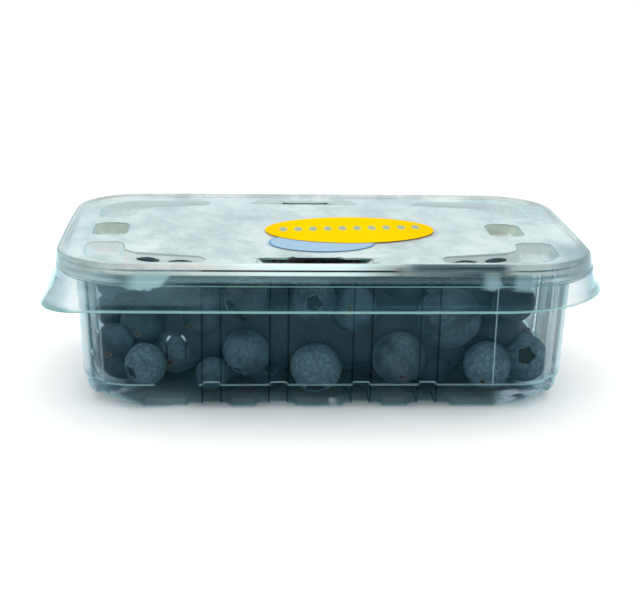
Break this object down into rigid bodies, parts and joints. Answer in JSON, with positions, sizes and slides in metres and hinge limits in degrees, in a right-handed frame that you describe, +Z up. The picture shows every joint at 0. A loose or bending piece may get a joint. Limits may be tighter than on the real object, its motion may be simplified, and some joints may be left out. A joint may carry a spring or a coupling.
{
  "type": "punnet of blueberries",
  "caption": "Shallow clear plastic punnet with ribbed walls and moulded feet, filled with blueberries under a press-on vented lid with two oval labels",
  "frame": {"origin": "under the middle of the pack's bounding box, on the surface that its feet stand on", "axes": "+X along the long side to the right, +Y from the front to the back, +Z up"},
  "size_m": [0.186, 0.122, 0.052],
  "materials": {
    "tray": "clear thermoformed plastic sheet, glossy",
    "lid": "clear thermoformed plastic sheet, glossy, slightly misted on the panel",
    "berries": "blueberry skin with a waxy blue-grey bloom",
    "label_yellow": "glossy printed sticker",
    "label_blue": "glossy printed sticker"
  },
  "bodies": {
    "root": {"tray": "tray", "lid": "lid", "berries": "berries", "label_yellow": "label_yellow", "label_blue": "label_blue"}
  },
  "joints": []
}
